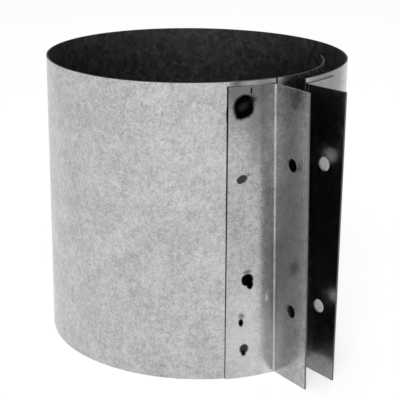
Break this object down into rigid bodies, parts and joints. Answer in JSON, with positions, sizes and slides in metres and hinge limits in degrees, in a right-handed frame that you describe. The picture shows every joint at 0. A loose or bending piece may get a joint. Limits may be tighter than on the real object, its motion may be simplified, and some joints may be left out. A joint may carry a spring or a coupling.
{
  "type": "duct drawband",
  "caption": "Galvanised sheet drawband for a round duct joint: a rolled band, a folded angle with a bolt ear on each side of its gap, and an inner tongue that covers the gap.",
  "frame": {"origin": "on the band's axis, in the plane of its lower rim", "axes": "+Z along the duct; the gap between the ears faces -Y, so +Y is the longest extent"},
  "size_m": [0.16, 0.1865, 0.1524],
  "materials": {
    "band_zinc": "galvanised, matt and finely mottled",
    "tongue_zinc": "galvanised, dull",
    "angle_zinc": "galvanised, with scorched spot welds"
  },
  "bodies": {
    "root": {"band": "band_zinc", "tongue": "tongue_zinc", "left_angle": "angle_zinc", "right_angle": "angle_zinc"}
  },
  "joints": []
}
